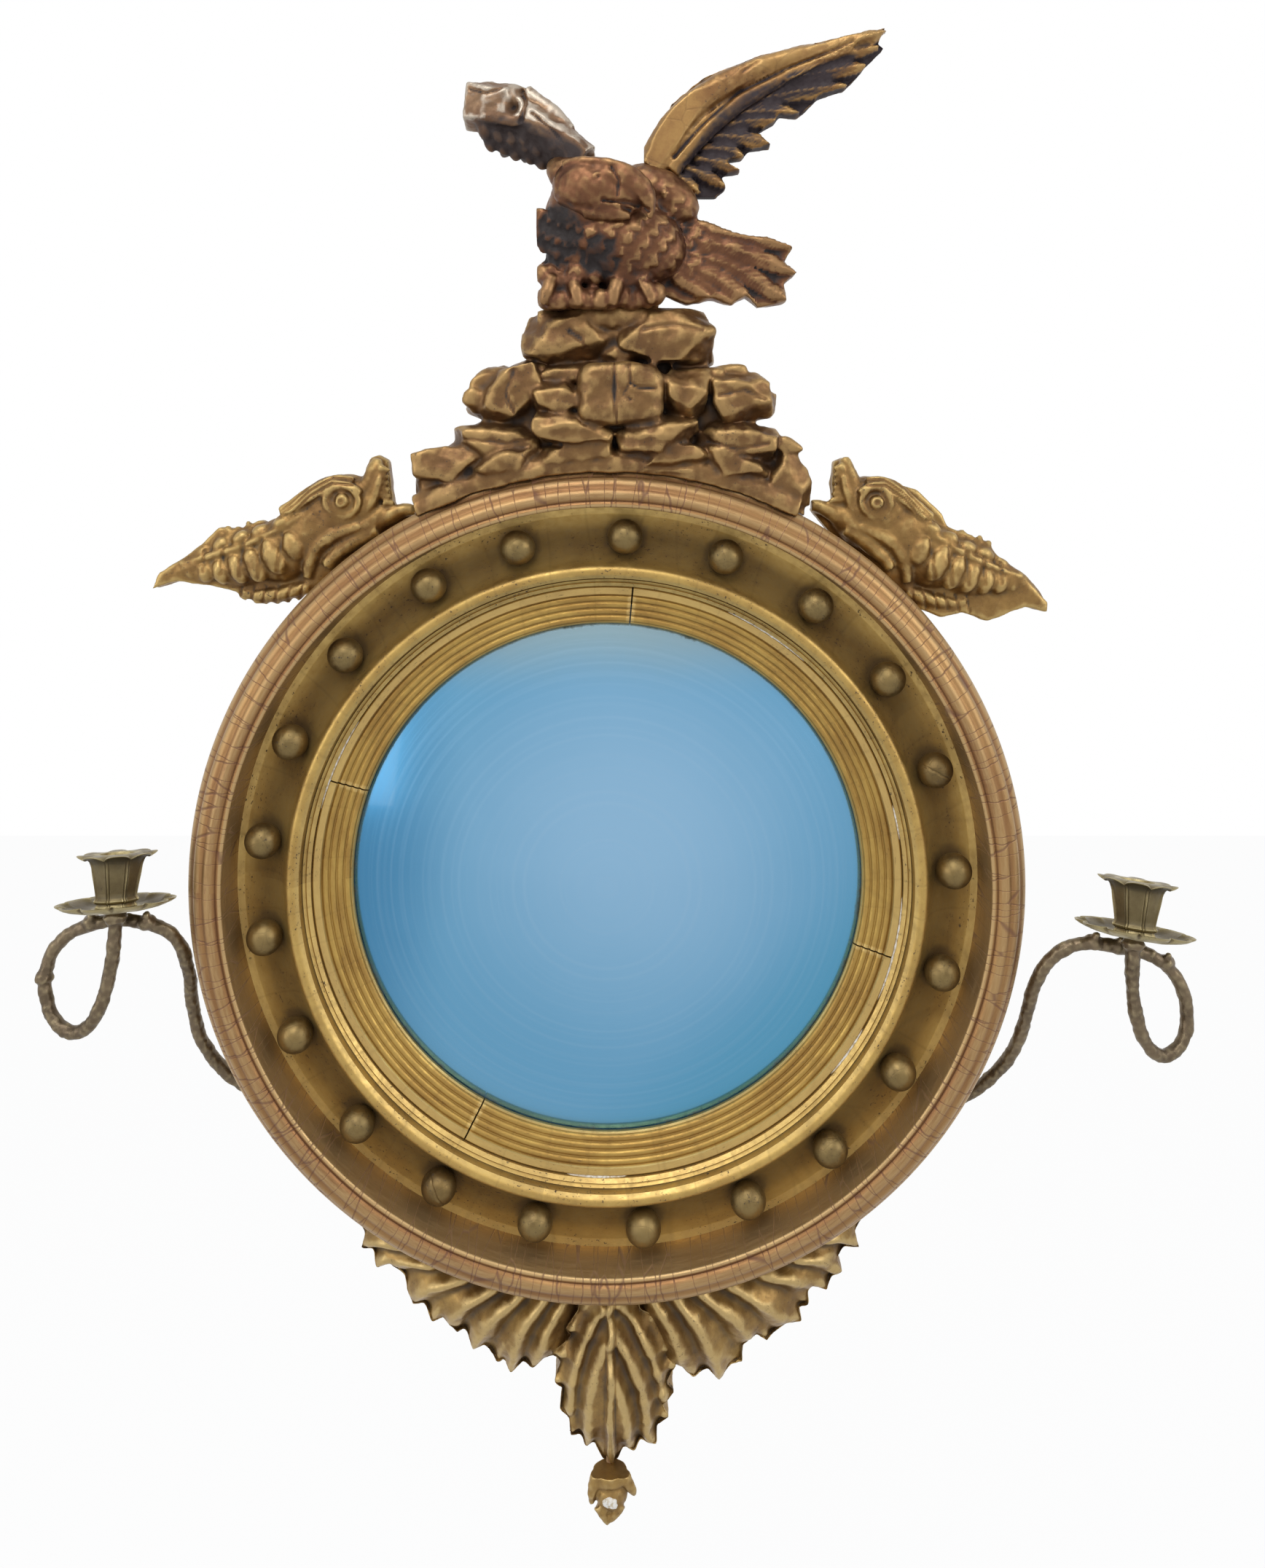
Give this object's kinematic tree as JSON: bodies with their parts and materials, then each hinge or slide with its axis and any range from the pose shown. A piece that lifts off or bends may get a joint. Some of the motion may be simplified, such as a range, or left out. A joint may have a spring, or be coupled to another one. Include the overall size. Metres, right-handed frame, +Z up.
{
  "type": "girandole mirror",
  "caption": "Round convex wall mirror in a carved gilt frame with ball ornaments, eagle and rockwork crest, dolphins, leaf apron and two swivelling candle arms.",
  "frame": {"origin": "on the wall plane, behind the centre of the glass, on the back of the middle backboard", "axes": "+X to the right seen from the front, +Z up, -Y out of the wall"},
  "size_m": [0.8284, 0.1104, 1.085],
  "materials": {
    "frame_gilding": "worn water gilding over red bole, fine craquelure",
    "slip_gilding": "reeded gilt slip, dark in the grooves",
    "bronzed_gilding": "aged bronze gold",
    "rock_gilding": "dull gilded carving",
    "eagle_gilding": "dark red-brown with worn gold on the high places",
    "carved_gilding": "yellow gold carving with grime in the hollows",
    "leaf_gilding": "antique gold carving",
    "pine": "aged bare softwood",
    "mirror_glass": "old silvered convex glass",
    "aged_brass": "tarnished cast brass",
    "iron": "dark old iron"
  },
  "bodies": {
    "frame": {"apron_bud": "leaf_gilding", "apron_centre_leaf": "leaf_gilding", "apron_left_leaf": "leaf_gilding", "apron_right_leaf": "leaf_gilding", "apron_screws": "iron", "backboard_left": "pine", "backboard_middle": "pine", "backboard_right": "pine", "backboard_screws": "iron", "ball_ornaments": "bronzed_gilding", "bud_peg": "pine", "convex_glass": "mirror_glass", "cove_ring": "frame_gilding", "crest_batten": "pine", "crest_batten_screws": "iron", "dolphin_screws": "iron", "eagle_body": "eagle_gilding", "eagle_dowel": "pine", "eagle_left_wing": "eagle_gilding", "eagle_right_wing": "eagle_gilding", "frame_carcass": "pine", "glazing_blocks": "pine", "hanging_plate": "iron", "hanging_plate_screws": "iron", "left_arm_socket": "aged_brass", "left_dolphin": "carved_gilding", "left_socket_screws": "iron", "outer_moulding": "frame_gilding", "right_arm_socket": "aged_brass", "right_dolphin": "carved_gilding", "right_socket_screws": "iron", "rockwork_base": "rock_gilding", "rockwork_crown": "rock_gilding", "rockwork_middle": "rock_gilding", "rockwork_screws": "iron", "slip_bottom": "slip_gilding", "slip_lower_left": "slip_gilding", "slip_right": "slip_gilding", "slip_upper_left": "slip_gilding", "wing_dowels": "pine"},
    "left_arm": {"left_candle_arm": "aged_brass", "left_drip_pan": "aged_brass", "left_candle_cup": "aged_brass"},
    "right_arm": {"right_candle_arm": "aged_brass", "right_drip_pan": "aged_brass", "right_candle_cup": "aged_brass"},
    "ring": {"hanging_ring": "iron"}
  },
  "joints": [
    {"name": "left_arm_swivel", "type": "hinge", "parent": "frame", "child": "left_arm", "pos_m": [-0.222, -0.015, -0.195], "axis": [0, 0, 1], "range_deg": [-10, 4]},
    {"name": "right_arm_swivel", "type": "hinge", "parent": "frame", "child": "right_arm", "pos_m": [0.222, -0.015, -0.199], "axis": [0, 0, 1], "range_deg": [-12, 10]},
    {"name": "ring_swing", "type": "hinge", "parent": "frame", "child": "ring", "pos_m": [0, -0.005, 0.3], "axis": [1, 0, 0], "range_deg": [0, 180]}
  ]
}
